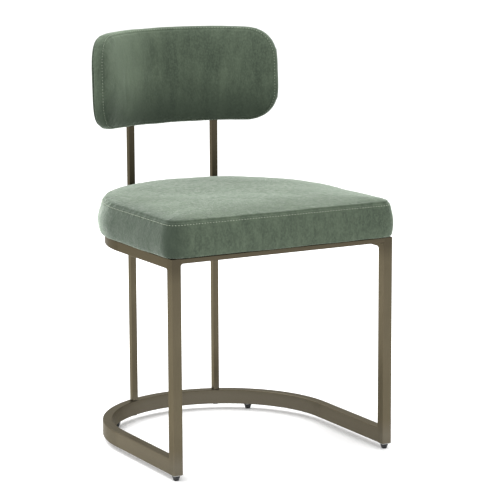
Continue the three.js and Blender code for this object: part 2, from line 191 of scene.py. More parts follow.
def hoop(name, low, high, centre_y, seam_y):
    """A tube bent through half a turn round the back, with a straight run at each end."""
    outer = high.x
    inner = outer - TUBE
    bpy.ops.object.select_all(action="DESELECT")
    bpy.ops.mesh.primitive_plane_add(
        size=1,
        location=((outer + inner) / 2, seam_y, (low.z + high.z) / 2),
        rotation=(math.pi / 2, 0, 0),
    )
    piece = bpy.context.object
    piece.scale = (outer - inner, high.z - low.z, 1)
    start(name)
    only(piece)
    bpy.ops.object.mode_set(mode="EDIT")
    bpy.ops.mesh.select_mode(type="VERT")
    bpy.ops.mesh.select_all(action="SELECT")
    bpy.ops.mesh.bevel(offset=EDGE, segments=4, profile=0.5, affect="VERTICES")
    bpy.ops.mesh.select_mode(type="FACE")
    bpy.ops.mesh.select_all(action="SELECT")
    run = centre_y - seam_y
    bpy.ops.mesh.extrude_region_move(TRANSFORM_OT_translate={"value": (0, run, 0)})
    bpy.ops.mesh.spin(steps=72, angle=-math.pi, center=(0, centre_y, 0), axis=(0, 0, 1))
    bpy.ops.mesh.extrude_region_move(TRANSFORM_OT_translate={"value": (0, -run, 0)})
    done()
    outward(piece)
    return piece


def seam_ends(piece, seam_y, sign):
    """Eases the end faces at a butt weld on one side, which leaves a fine line there."""
    edit(piece)
    mesh = piece.data
    pick(mesh.edges, mesh, lambda e, c: c.x * sign > 0 and all(
        abs(mesh.vertices[i].co.y - seam_y) < 1e-6 for i in e.vertices))
    bpy.ops.mesh.bevel(offset=SEAM_EASE, segments=2, profile=0.5, affect="EDGES")
    done()


def turned(name, x, y, profile, sides=40):
    """A round piece from rings (radius, height), the first and the last closed."""
    radius, z = profile[0]
    bpy.ops.object.select_all(action="DESELECT")
    bpy.ops.mesh.primitive_circle_add(
        vertices=sides, radius=radius, fill_type="NGON", location=(x, y, z)
    )
    piece = start(name)
    only(piece)
    bpy.ops.object.mode_set(mode="EDIT")
    bpy.ops.mesh.select_mode(type="FACE")
    bpy.ops.mesh.select_all(action="SELECT")
    for (r0, z0), (r1, z1) in zip(profile, profile[1:]):
        bpy.ops.mesh.extrude_region_move(TRANSFORM_OT_translate={"value": (0, 0, z1 - z0)})
        bpy.ops.transform.resize(value=(r1 / r0, r1 / r0, 1), center_override=(x, y, z1))
    done()
    outward(piece)
    return smooth(piece, 50)


# ---------------------------------------------------------------- materials

def node_tree(name):
    material = bpy.data.materials.new(name)
    material.use_nodes = True
    tree = material.node_tree
    return material, tree, tree.nodes["Principled BSDF"]


def node(tree, kind, inputs=(), **settings):
    """Adds a node; an input is given a value or another node's socket."""
    made = tree.nodes.new(kind)
    for key, value in settings.items():
        setattr(made, key, value)
    for key, value in dict(inputs).items():
        socket = made.inputs[key]
        if isinstance(value, bpy.types.NodeSocket):
            tree.links.new(value, socket)
        else:
            socket.default_value = value
    return made


def colour_mix(tree, factor, a, b, blend="MIX"):
    mixer = tree.nodes.new("ShaderNodeMix")
    mixer.data_type = "RGBA"
    mixer.blend_type = blend
    for index, value in ((0, factor), (6, a), (7, b)):
        socket = mixer.inputs[index]
        if isinstance(value, bpy.types.NodeSocket):
            tree.links.new(value, socket)
        else:
            socket.default_value = value
    return mixer.outputs[2]


def coords(tree, scale):
    place = node(tree, "ShaderNodeTexCoord").outputs["Object"]
    return node(tree, "ShaderNodeMapping", {"Vector": place, "Scale": scale}).outputs[0]


def noise_at(tree, scale, size, detail=4.0, rough=0.55):
    return node(tree, "ShaderNodeTexNoise", {
        "Vector": coords(tree, scale), "Scale": size, "Detail": detail, "Roughness": rough,
    }).outputs["Fac"]


def ramp(tree, factor, low, high, a=0.0, b=1.0):
    return node(tree, "ShaderNodeMapRange", {
        "Value": factor, "From Min": low, "From Max": high, "To Min": a, "To Max": b,
    }).outputs[0]


def add_bump(tree, shader, height, distance, strength=1.0, normal=None):
    bump = node(tree, "ShaderNodeBump", {
        "Height": height, "Distance": distance, "Strength": strength})
    if normal is not None:
        tree.links.new(normal, bump.inputs["Normal"])
    tree.links.new(bump.outputs[0], shader.inputs["Normal"])
    return bump.outputs[0]


PAINTED_PAD_SHADE = (0.375, 0.405)  # heights between which painted shade from the seat pad's overhang darkens the bronze
PAINTED_FLOOR_REFLECTION = (0.03, 0.06)  # heights between which the painted reflection of the pale floor fades


def bronze_finish(name, grain):
    """Satin antique bronze, with painted shade from the seat frame up under the pad and a
    painted reflection of the floor along the base; grain stretches the fine brushing along a
    tube."""
    material, tree, shader = node_tree(name)
    clouds = noise_at(tree, (1, 1, 1), 14, 5)
    brushing = noise_at(tree, grain, 1, 3, 0.6)
    worn = node(tree, "ShaderNodeAttribute", attribute_name="edge").outputs["Fac"]
    base = colour_mix(tree, ramp(tree, clouds, 0.3, 0.7),
                      (0.067, 0.056, 0.034, 1), (0.086, 0.072, 0.045, 1))
    base = colour_mix(tree, ramp(tree, brushing, 0.35, 0.65, 0.0, 0.35), base,
                      (0.062, 0.052, 0.032, 1))
    base = colour_mix(tree, ramp(tree, worn, 0.0, 1.0, 0.0, 0.35), base,
                      (0.19, 0.160, 0.105, 1))
    place = node(tree, "ShaderNodeTexCoord").outputs["Object"]
    height = node(tree, "ShaderNodeSeparateXYZ", {"Vector": place}).outputs[2]
    # painted shade: darker towards the seat pad, where the pad overhangs the frame
    base = colour_mix(tree, ramp(tree, height, *PAINTED_PAD_SHADE, 0.0, 0.42), base,
                      (0.026, 0.021, 0.013, 1))
    # painted reflection: lighter near the floor, standing in for the pale floor seen in the
    # bronze
    base = colour_mix(tree, ramp(tree, height, *PAINTED_FLOOR_REFLECTION, 0.5, 0.0), base,
                      (0.150, 0.136, 0.108, 1))
    tree.links.new(base, shader.inputs["Base Color"])
    shader.inputs["Metallic"].default_value = 1.0
    tree.links.new(ramp(tree, brushing, 0.2, 0.8, 0.34, 0.46), shader.inputs["Roughness"])
    shader.inputs["Specular Tint"].default_value = (0.50, 0.48, 0.43, 1)
    shader.inputs["Coat Weight"].default_value = 0.12
    shader.inputs["Coat Roughness"].default_value = 0.35
    add_bump(tree, shader, brushing, 0.00004, 0.6)
    return material


def shade(colour, factor):
    """The same colour, darker or lighter."""
    return tuple(c * factor for c in colour[:3]) + (1,)


def painted_band(tree, base, axis, edges, colour, amount):
    """Painted light and shade between two soft limits along an axis."""
    place = node(tree, "ShaderNodeTexCoord").outputs["Object"]
    where = node(tree, "ShaderNodeSeparateXYZ", {"Vector": place}).outputs[axis]
    wander = ramp(tree, noise_at(tree, (1, 1, 1), 22, 3), 0.3, 0.7, -0.012, 0.012)
    where = node(tree, "ShaderNodeMath", {0: where, 1: wander}, operation="ADD").outputs[0]
    rise = ramp(tree, where, edges[0], edges[1])
    fall = ramp(tree, where, edges[2], edges[3], 1.0, 0.0)
    share = node(tree, "ShaderNodeMath", {0: rise, 1: fall}, operation="MULTIPLY").outputs[0]
    share = node(tree, "ShaderNodeMath", {0: share, 1: amount}, operation="MULTIPLY").outputs[0]
    return colour_mix(tree, share, base, colour)


def velvet_finish(name, nap, pale, deep, sheen, painted_bands=()):
    """Short-pile velvet; nap is the direction in which the pile has been stroked."""
    material, tree, shader = node_tree(name)
    strokes = noise_at(tree, nap, 1, 4, 0.6)
    patches = noise_at(tree, (1, 1, 1), 13, 4, 0.6)
    pile = noise_at(tree, (1, 1, 1), 1500, 2, 0.7)
    flecks = noise_at(tree, (1, 1, 0.7), 300, 3, 0.6)
    mottle = noise_at(tree, (1, 1, 0.55), 95, 4, 0.65)
    base = colour_mix(tree, ramp(tree, strokes, 0.32, 0.68), deep, pale)
    base = colour_mix(tree, ramp(tree, patches, 0.35, 0.7, 0.0, 0.4), base, deep)
    base = colour_mix(tree, ramp(tree, mottle, 0.40, 0.70, 0.0, 0.36), base, shade(deep, 0.6))
    base = colour_mix(tree, ramp(tree, flecks, 0.42, 0.68, 0.0, 0.36), base, shade(pale, 1.35))
    # bands of painted light and shade laid over the velvet's own colour
    for axis, edges, colour, amount in painted_bands:
        base = painted_band(tree, base, axis, edges, colour, amount)
    tree.links.new(base, shader.inputs["Base Color"])
    shader.inputs["Roughness"].default_value = 0.85
    shader.inputs["Specular IOR Level"].default_value = 0.15
    worn = node(tree, "ShaderNodeMath", {0: mottle, 1: flecks}, operation="ADD").outputs[0]
    weight = ramp(tree, worn, 0.8, 1.2, sheen * 0.88, sheen)
    tree.links.new(weight, shader.inputs["Sheen Weight"])
    shader.inputs["Sheen Roughness"].default_value = 0.33
    tint = colour_mix(tree, ramp(tree, worn, 0.82, 1.18),
                      (0.54, 0.67, 0.54, 1), (0.92, 1.0, 0.90, 1))
    tree.links.new(tint, shader.inputs["Sheen Tint"])
    first = add_bump(tree, shader, pile, 0.00025, 0.5)
    add_bump(tree, shader, flecks, 0.0007, 0.5, first)
    return material


def thread_finish():
    material, tree, shader = node_tree("sewing_thread")
    twist = node(tree, "ShaderNodeTexWave", {
        "Vector": coords(tree, (1, 1, 1)), "Scale": 900, "Distortion": 2.0}).outputs["Fac"]
    base = colour_mix(tree, twist, (0.26, 0.31, 0.23, 1), (0.42, 0.47, 0.36, 1))
    tree.links.new(base, shader.inputs["Base Color"])
    shader.inputs["Roughness"].default_value = 0.6
    add_bump(tree, shader, twist, 0.0001, 0.6)
    return material


def nylon_finish():
    material, tree, shader = node_tree("moulded_nylon")
    grain = noise_at(tree, (1, 1, 1), 900, 3)
    base = colour_mix(tree, grain, (0.006, 0.006, 0.007, 1), (0.014, 0.014, 0.016, 1))
    tree.links.new(base, shader.inputs["Base Color"])
    tree.links.new(ramp(tree, grain, 0.3, 0.7, 0.38, 0.5), shader.inputs["Roughness"])
    add_bump(tree, shader, grain, 0.00005, 0.5)
    return material


def zinc_finish():
    material, tree, shader = node_tree("zinc_plate")
    spangle = noise_at(tree, (1, 1, 1), 260, 4)
    base = colour_mix(tree, spangle, (0.36, 0.37, 0.38, 1), (0.52, 0.52, 0.50, 1))
    tree.links.new(base, shader.inputs["Base Color"])
    shader.inputs["Metallic"].default_value = 1.0
    tree.links.new(ramp(tree, spangle, 0.3, 0.7, 0.25, 0.4), shader.inputs["Roughness"])
    add_bump(tree, shader, spangle, 0.00003, 0.5)
    return material


def lining_finish():
    material, tree, shader = node_tree("non_woven_lining")
    fibres = noise_at(tree, (1, 1, 1), 500, 6, 0.75)
    dots = node(tree, "ShaderNodeTexVoronoi", {
        "Vector": coords(tree, (1, 1, 0)), "Scale": 420.0}).outputs["Distance"]
    base = colour_mix(tree, fibres, (0.010, 0.010, 0.011, 1), (0.028, 0.028, 0.030, 1))
    tree.links.new(base, shader.inputs["Base Color"])
    shader.inputs["Roughness"].default_value = 0.9
    add_bump(tree, shader, dots, 0.0003, 0.5)
    return material


def plywood_finish():
    material, tree, shader = node_tree("birch_plywood")
    grain = noise_at(tree, (6, 90, 6), 2, 6, 0.65)
    plies = node(tree, "ShaderNodeTexWave", {
        "Vector": coords(tree, (0, 0, 1)), "Scale": 110.0}, bands_direction="Z").outputs["Fac"]
    base = colour_mix(tree, grain, (0.42, 0.27, 0.13, 1), (0.60, 0.43, 0.24, 1))
    base = colour_mix(tree, ramp(tree, plies, 0.0, 1.0, 0.0, 0.4), base, (0.30, 0.18, 0.08, 1))
    tree.links.new(base, shader.inputs["Base Color"])
    shader.inputs["Roughness"].default_value = 0.65
    add_bump(tree, shader, grain, 0.0002, 0.4)
    return material


def foam_finish():
    material, tree, shader = node_tree("cut_foam")
    cells = node(tree, "ShaderNodeTexVoronoi", {
        "Vector": coords(tree, (1, 1, 1)), "Scale": 700.0}).outputs["Distance"]
    base = colour_mix(tree, cells, (0.60, 0.54, 0.36, 1), (0.82, 0.77, 0.58, 1))
    tree.links.new(base, shader.inputs["Base Color"])
    shader.inputs["Roughness"].default_value = 0.95
    add_bump(tree, shader, cells, 0.0006, 0.6)
    return material


BRONZE = {
    0: bronze_finish("bronze_along_x", (30, 900, 900)),
    1: bronze_finish("bronze_along_y", (900, 30, 900)),
    2: bronze_finish("bronze_along_z", (900, 900, 30)),
}
PALE = (0.092, 0.120, 0.082, 1)
DEEP = (0.051, 0.069, 0.048, 1)
PAINTED_LIGHT = (0.160, 0.205, 0.145, 1)
PAINTED_SHADE = (0.030, 0.042, 0.030, 1)
# Bands of painted light and shade: the axis, where one starts, is full, starts to fade and
# ends, its colour and how strong it is
BACK_LIGHT_AND_SHADE = (
    # painted light on the back pad's left part, where it turns to face the lamp
    (0, (-0.19, -0.15, -0.10, -0.04), PAINTED_LIGHT, 0.55),
    # painted shade towards the back pad's bottom
    (2, (0.0, 0.1, 0.635, 0.70), PAINTED_SHADE, 0.60),
)
# painted shade along the seat pad's left side and front-left corner
SEAT_LEFT_SHADE = ((0, (-0.30, -0.29, -0.238, -0.195), PAINTED_SHADE, 0.80),)
SEAT_VELVET = velvet_finish("seat_velvet", (60, 60, 16), PALE, DEEP, 1.0, SEAT_LEFT_SHADE)
BACK_VELVET = velvet_finish("back_velvet", (34, 34, 9), PALE, DEEP, 0.5, BACK_LIGHT_AND_SHADE)
THREAD = thread_finish()
NYLON = nylon_finish()
ZINC = zinc_finish()
LINING = lining_finish()
PLYWOOD = plywood_finish()
FOAM = foam_finish()


def dress(piece, material):
    piece.data.materials.clear()
    piece.data.materials.append(material)


# ---------------------------------------------------------------- frame

def mark_edges(piece):
    """Stores how sharply the surface turns at each point, for the wear along edges."""
    mesh = piece.data
    turn = [0.0] * len(mesh.vertices)
    normals = [[] for _ in mesh.vertices]
    for face in mesh.polygons:
        for i in face.vertices:
            normals[i].append(face.normal.copy())
    for i, found in enumerate(normals):
        spread = [a.angle(b, 0) for k, a in enumerate(found) for b in found[k + 1:]]
        turn[i] = min(max(spread, default=0) / math.radians(40), 1)
    mesh.attributes.new("edge", "FLOAT", "POINT").data.foreach_set("value", turn)


def metal(piece, axis, *nodes):
    """Finishes a tube in bronze; axis is the way its brushing runs."""
    mark_edges(piece)
    smooth(piece)
    piece.modifiers.new("flat_faces", "WEIGHTED_NORMAL").keep_sharp = True
    apply_all(piece)
    dress(piece, BRONZE[axis])
    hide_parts(*nodes)
    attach(piece, "chair")


def fillet(name, corner, inward, across, radius, width):
    """A weld fillet: a block in an inner corner with a round bite out of its free side."""
    corner, inward = Vector(corner), Vector(inward)
    axis = Vector((1, 0, 0)) if across == 0 else Vector((0, 1, 0))
    low = corner - inward * WELD_RUN_IN - axis * width / 2
    high = corner + inward * radius + axis * width / 2
    lows = [min(a, b) for a, b in zip(low, high)]
    highs = [max(a, b) for a, b in zip(low, high)]
    web = cube(name, lows, highs)
    turn = (0, math.pi / 2, 0) if across == 0 else (math.pi / 2, 0, 0)
    bite = rod("bite", corner + inward * radius, radius, width * 2, turn=turn)
    return combine(web, bite)


def front_leg(side, sign):
    """A front leg with its weld webs, hollow at the foot for the glide's plug."""
    low = Vector((min(sign * HALF_WIDTH, sign * (HALF_WIDTH - TUBE)), FRONT, LEG_LOW.z))
    high = Vector((low.x + TUBE, FRONT + TUBE, FRAME_TOP))
    leg = bar(f"leg_tube_{side}", low, high, 2, ends=1.0 * MM)
    back = FRONT + TUBE
    rail_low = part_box(f"seat_rail_{side}")[0].z
    middle = sign * (HALF_WIDTH - TUBE / 2)
    rear = fillet("rear_web", (middle, back, rail_low), (0, 1, -1), 0,
                  REAR_WEB, WEB_WIDTH)
    combine(leg, rear, "UNION")
    inner_x = sign * (HALF_WIDTH - TUBE)
    front_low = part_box("front_rail")[0].z
    inner = fillet("inner_web", (inner_x, FRONT + TUBE / 2, front_low), (-sign, 0, -1), 1,
                   INNER_WEB, WEB_WIDTH)
    combine(leg, inner, "UNION")
    hollow = cube("hollow", (low.x + WALL, low.y + WALL, low.z - 1 * MM),
                  (high.x - WALL, high.y - WALL, low.z + PLUG_ROOM))
    combine(leg, hollow)
    metal(leg, 2, f"front_leg_{side}")


def rails(side, sign):
    """The base tube and the seat rail on one side, run into the leg as ground welds."""
    for name, source in (("base_rail", "base_tube"), ("seat_side_rail", "seat_rail")):
        low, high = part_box(f"{source}_{side}")
        low.y = FRONT + TUBE - EDGE
        rail = bar(f"{name}_{side}", low, high, 1)
        if name == "base_rail" and sign > 0:
            seam_ends(rail, high.y, sign)
        metal(rail, 1, f"{source}_{side}")


def front_rail():
    low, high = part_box("front_rail")
    low.x -= EDGE
    high.x += EDGE
    rail = bar("seat_front_rail", low, high, 0)
    metal(rail, 0, "front_rail")


def posts():
    for side in SIDES:
        low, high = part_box(f"back_upright_{side}")
        low.x -= POST_FULLER
        high.x += POST_FULLER
        post = bar(f"back_post_{side}", low, high, 2, radius=1.0 * MM, ends=0.5 * MM)
        metal(post, 2, f"back_upright_{side}")


def bends():
    """The two tubes bent round the back; the base is bored for the rear glides' inserts."""
    base = hoop("base_hoop", BASE_LOW, BASE_HIGH, BASE_HIGH.y - HALF_WIDTH, BASE_LOW.y)
    seam_ends(base, BASE_LOW.y, 1)
    for side in SIDES:
        low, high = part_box(f"glide_insert_{side}")
        centre = ((low.x + high.x) / 2, (low.y + high.y) / 2, BASE_LOW.z + 4 * MM)
        radius = (high.x - low.x) / 2 + INSERT_ROOM
        combine(base, rod("insert_bore", centre, radius, depth=24 * MM))
    metal(base, 1, "base_bend")
    ring = hoop("seat_hoop", HOOP_LOW, HOOP_HIGH, HOOP_HIGH.y - HALF_WIDTH, HOOP_LOW.y)
    metal(ring, 1, "seat_bend")


# A glide foot's outline: shares of its widest radius and of its height
FOOT_RINGS = (
    (0.50, 0.0), (0.60, 0.02), (0.67, 0.09), (0.78, 0.38), (0.80, 0.44), (0.80, 0.50),
    (0.86, 0.54), (0.93, 0.76), (0.985, 0.84), (1.0, 0.90), (0.985, 0.96), (0.94, 1.0),
)


def glide_foot(place):
    """A levelling glide: a tapered nylon foot with a rounded rim and a grip groove."""
    low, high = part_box(f"glide_foot_{place}")
    x, y, reach = (low.x + high.x) / 2, (low.y + high.y) / 2, (high.x - low.x) / 2
    tall = high.z - low.z
    profile = [(reach * r, low.z + tall * z) for r, z in FOOT_RINGS]
    foot = turned(f"nylon_foot_{place}", x, y, profile)
    stud_low, stud_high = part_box(f"glide_stud_{place}")
    centre = (x, y, stud_low.z + 4.8 * MM)
    radius = (stud_high.x - stud_low.x) / 2 + STUD_ROOM
    combine(foot, rod("stud_bore", centre, radius, depth=10 * MM, sides=32))
    smooth(foot, 40)
    dress(foot, NYLON)
    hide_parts(f"glide_foot_{place}")
    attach(foot, f"glide_{place}")


def fittings():
    """The small parts keep the frame's own shapes and only take a finish."""
    finishes = {
        "tab": BRONZE[1], "stud": ZINC, "plug": ZINC, "insert": ZINC, "screw": ZINC,
        "bolt": ZINC, "board": PLYWOOD, "lining": LINING, "foam": FOAM,
    }
    for name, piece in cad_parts.items():
        for kind, material in finishes.items():
            if kind in name:
                dress(piece, material)


for side, sign in SIDES.items():
    front_leg(side, sign)
    rails(side, sign)
front_rail()
posts()
bends()
fittings()
for place in ("front_left", "front_right", "rear_left", "rear_right"):
    glide_foot(place)


# ---------------------------------------------------------------- padded pieces

STITCH = 2.8 * MM  # length of a stitch


def points_of(mesh):
    """A mesh's points as an array with a row for each."""
    flat = np.empty(len(mesh.vertices) * 3)
    mesh.vertices.foreach_get("co", flat)
    return flat.reshape(-1, 3)


def set_points(mesh, points):
    mesh.vertices.foreach_set("co", np.asarray(points).reshape(-1))
    mesh.update()


def move_points(piece, shift):
    """Moves every point by shift(point, normal)."""
    mesh = piece.data
    moved = [v.co + shift(v.co, v.normal) for v in mesh.vertices]
    set_points(mesh, moved)


def remesh(piece, voxel):
    only(piece)
    modifier = piece.modifiers.new("voxels", "REMESH")
    modifier.mode = "VOXEL"
    modifier.voxel_size = voxel
    modifier.use_smooth_shade = True
    bpy.ops.object.modifier_apply(modifier=modifier.name)


def swell(piece, held, pressure, cap, frames=20):
    """Inflates a pad as cloth. Points that held() marks stay, and none moves past cap."""
    group = piece.vertex_groups.new(name="held")
    for v in piece.data.vertices:
        weight = held(v.co)
        if weight > 0:
            group.add([v.index], weight, "REPLACE")
    before = points_of(piece.data)
    cloth = piece.modifiers.new("swell", "CLOTH")
    cloth.settings.use_pressure = True
    cloth.settings.uniform_pressure_force = pressure
    cloth.settings.effector_weights.gravity = 0
    cloth.settings.vertex_group_mass = "held"
    cloth.settings.tension_stiffness = 12
    cloth.settings.bending_stiffness = 0.6
    cloth.point_cache.frame_end = frames
    for step in range(1, frames + 1):
        bpy.context.scene.frame_set(step)
    depsgraph = bpy.context.evaluated_depsgraph_get()
    after = points_of(piece.evaluated_get(depsgraph).data)
    piece.modifiers.remove(cloth)
    bpy.context.scene.frame_set(1)
    move = after - before
    length = np.linalg.norm(move, axis=1, keepdims=True) + 1e-9
    set_points(piece.data, before + move / length * cap * np.tanh(length / cap))
    piece.vertex_groups.clear()


def subdivide_all(piece):
    modifier = piece.modifiers.new("finer", "SUBSURF")
    modifier.levels = modifier.render_levels = 1
    apply_all(piece)


def refine(piece, near):
    """One more subdivision of the faces whose middle is near()."""
    edit(piece, "FACE")
    pick(piece.data.polygons, piece.data, lambda f, c: near(c))
    bpy.ops.mesh.subdivide(number_cuts=1)
    done()


def loop_points(mesh, test, about, step):
    """The outline through the points that pass the test, in order round a middle point,
    with an even step. about(point) gives the point's place in the outline's own plane."""
    found = [v.co.copy() for v in mesh.vertices if test(v.co)]
    found.sort(key=lambda p: math.atan2(about(p)[1], about(p)[0]))
    lengths = [(b - a).length for a, b in zip(found, found[1:] + found[:1])]
    total = sum(lengths)
    count = round(total / step)
    path = []
    i, walked = 0, 0.0
    for k in range(count):
        goal = total * k / count
        while walked + lengths[i] < goal:
            walked += lengths[i]
            i += 1
        a, b = found[i], found[(i + 1) % len(found)]
        path.append(a.lerp(b, (goal - walked) / lengths[i]))
    return path


def tree_of(path):
    tree = kdtree.KDTree(len(path))
    for i, point in enumerate(path):
        tree.insert(point, i)
    tree.balance()
    return tree


def clamp(share):
    return min(max(share, 0), 1)


def falloff(distance, reach):
    return (1 - (distance / reach) ** 2) ** 2 if distance < reach else 0.0


def groove(piece, path, reach, depth):
    tree = tree_of(path)
    move_points(piece, lambda p, n: -n * depth * falloff(tree.find(p)[2], reach))


def gathers(piece, path, reach, height, pitch):
    """Small folds that run away from a seam and fade."""
    tree = tree_of(path)

    def shift(p, n):
        distance = tree.find(p)[2]
        ripple = noise.noise(p / pitch) + 0.5 * noise.noise(p * 2.3 / pitch)
        return n * height * ripple * falloff(distance, reach)

    move_points(piece, shift)


def soft_dents(piece, height, size):
    move_points(piece, lambda p, n: n * height * noise.noise(p / size))


def stitches(name, piece, path, radius):
    """A row of thread stitches lying on the cloth along a path."""
    surface = bvhtree.BVHTree.FromObject(piece, bpy.context.evaluated_depsgraph_get())
    bpy.ops.object.select_all(action="DESELECT")
    bpy.ops.mesh.primitive_uv_sphere_add(segments=6, ring_count=5, radius=1)
    pattern = start("stitch")
    copies = []
    for i, point in enumerate(path):
        ahead = (path[(i + 1) % len(path)] - path[i - 1]).normalized()
        place, normal, _, _ = surface.find_nearest(point)
        across = normal.cross(ahead).normalized()
        ahead = across.cross(normal)
        axes = Matrix((ahead * STITCH / 2, across * radius, normal * radius)).transposed()
        copy = pattern.copy()
        copy.data = pattern.data.copy()
        copy.data.transform(Matrix.Translation(place + normal * radius * 0.35) @ axes.to_4x4())
        bpy.context.scene.collection.objects.link(copy)
        copies.append(copy)
    bpy.data.objects.remove(pattern, do_unlink=True)
    bpy.ops.object.select_all(action="DESELECT")
    for copy in copies:
        copy.select_set(True)
    bpy.context.view_layer.objects.active = copies[0]
    bpy.ops.object.join()
    row = copies[0]
    row.name = row.data.name = name
    only(row)
    bpy.ops.object.shade_smooth()
    dress(row, THREAD)
    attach(row, "chair")


# ---------------------------------------------------------------- seat pad

SEAM_OUT = 3 * MM  # how far the seam stands outside the frame
REACH = HALF_WIDTH + SEAM_OUT  # from the middle of the seat to its side seam
BEND_Y = HOOP_HIGH.y - HALF_WIDTH
CORNER = 25 * MM
SIDE_SWELL = 7.5 * MM
SWELL_DEPTH = 20 * MM  # how far inside the seam the side swell fades out
SAG, SAG_WIDTH = 2.2 * MM, 2.2 * MM  # how far the foot of the side hangs, and how wide
TOP_ROUND = 8 * MM
ROUND_MIDDLE = 0.29  # how far a rounding's middle lies inside its corner, by radius
CROWN_EDGE, CROWN_SLOPE = 5 * MM, 9 * MM  # the quick rise beside the seam, and its run
CROWN_MIDDLE, CROWN_RUN = 5 * MM, 45 * MM  # the slow rise to the middle, and its run
CROWN_START, CROWN_FULL = 9 * MM, 2 * MM  # depths between which the rise takes hold
LINING_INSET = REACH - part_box("seat_lining")[1].x - 2.5 * MM
LINING_ROOM = 1.9 * MM
POST_LOW, POST_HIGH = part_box("back_upright_right")
POST_ROOM = 0.8 * MM  # between the pad and a post
POST_PRESS, PRESS_CURVE = 7.5 * MM, 80 * MM  # the hollow's flat half width, and its run out
EASE = 3 * MM  # how gently the pad gives way beside a post
PRESSURE = 4.0
SEAT_CAP = 11 * MM  # the furthest that the seat's cloth moves as it swells
SEAT_ROW = 5 * MM  # how far the stitching lies below the seam
PITCH = 4  # steps of a seam from stitch to stitch
STEP = 1.5 * MM  # between the points of a seam


def seat_block():
    """The seat pad before it swells: a D-shaped block with a rounded top edge, and the
    seam's line along the middle of that rounding."""
    block = cube("seat_pad", (-REACH, FRONT - SEAM_OUT, SEAT_BOTTOM),
                 (REACH, HOOP_HIGH.y + SEAM_OUT, SEAT_SEAM))
    for rear, offset, segments in ((True, REACH - 0.2 * MM, 36), (False, CORNER, 8)):
        edit(block)
        pick(block.data.edges, block.data,
             lambda e, c: along(block.data, e, 2) and (c.y > 0) == rear)
        bpy.ops.mesh.bevel(offset=offset, segments=segments, profile=0.5, affect="EDGES")
        done()
    seam = loop_points(block.data, lambda p: p.z > SEAT_SEAM - 1e-5,
                       lambda p: (p.x, p.y), STEP)
    edit(block)
    pick(block.data.edges, block.data, lambda e, c: all(
        block.data.vertices[i].co.z > SEAT_SEAM - 1e-5 for i in e.vertices))
    bpy.ops.mesh.bevel(offset=TOP_ROUND, segments=5, profile=0.5, affect="EDGES")
    done()
    drawn_in = ROUND_MIDDLE * TOP_ROUND
    return block, [p - seat_outward(p) * drawn_in - Vector((0, 0, drawn_in)) for p in seam]


def inside_seam(p):
    """How far inside the seam a point is, seen from above."""
    if p.y > BEND_Y:
        return REACH - math.hypot(p.x, p.y - BEND_Y)
    side = abs(p.x) - (REACH - CORNER)
    front = (FRONT - SEAM_OUT + CORNER) - p.y
    if side > 0 and front > 0:
        return CORNER - math.hypot(side, front)
    return CORNER - max(side, front)


def seat_crown(p, share):
    """Raises the top of the pad: quickly beside the seam, then slowly to the middle."""
    inside = max(inside_seam(p), 0)
    quick = 1 - math.exp(-inside / CROWN_SLOPE)
    slow = 1 - math.exp(-inside / CROWN_RUN)
    top = clamp((p.z - SEAT_SEAM + CROWN_START) / (CROWN_START - CROWN_FULL))
    return Vector((0, 0, share * top * (CROWN_EDGE * quick + CROWN_MIDDLE * slow)))


def seat_outward(p):
    """The level direction that leads straight out of the seat's outline."""
    if p.y > BEND_Y:
        return Vector((p.x, p.y - BEND_Y, 0)).normalized()
    side = abs(p.x) - (REACH - CORNER)
    front = (FRONT - SEAM_OUT + CORNER) - p.y
    if side > 0 and front > 0:
        return Vector((math.copysign(side, p.x), -front, 0)).normalized()
    return Vector((0, -1, 0)) if front > side else Vector((math.copysign(1, p.x), 0, 0))


def seat_bulge(p, n):
    """The sides swell past the seam, and their foot hangs a little over the frame."""
    inside = inside_seam(p)
    up = clamp((p.z - SEAT_BOTTOM) / (SEAT_SEAM - SEAT_BOTTOM))
    near = max(1 - max(inside, 0) / SWELL_DEPTH, 0)
    out = (1 - up ** 3) * (0.45 + 0.55 * math.sin(math.pi * min(up * 1.15, 1)))
    fuller_behind = 1 + 0.5 * clamp((p.y + 0.10) / 0.15)
    out *= fuller_behind
    sag = max(1 - up * 8, 0) * max(1 - max(inside, 0) / SAG_WIDTH, 0)
    return seat_outward(p) * SIDE_SWELL * out * near + Vector((0, 0, -SAG * sag))


def seat_underside(p, n):
    """Inside the hem the pad's underside is set up, to leave room for the lining."""
    if p.z < SEAT_BOTTOM + 1 * MM and inside_seam(p) > LINING_INSET:
        return Vector((0, 0, LINING_ROOM))
    return Vector((0, 0, 0))


def beside_posts(p, n):
    """The back of the pad is pressed in where the two posts stand behind it."""
    away = abs(abs(p.x) - (POST_LOW.x + POST_HIGH.x) / 2)
    limit = POST_LOW.y - POST_ROOM + max(away - POST_PRESS, 0) ** 2 / PRESS_CURVE
    over = p.y - limit
    if over < -EASE:
        return Vector((0, 0, 0))
    push = over if over > EASE else (over + EASE) ** 2 / (4 * EASE)
    return Vector((0, -push, 0))


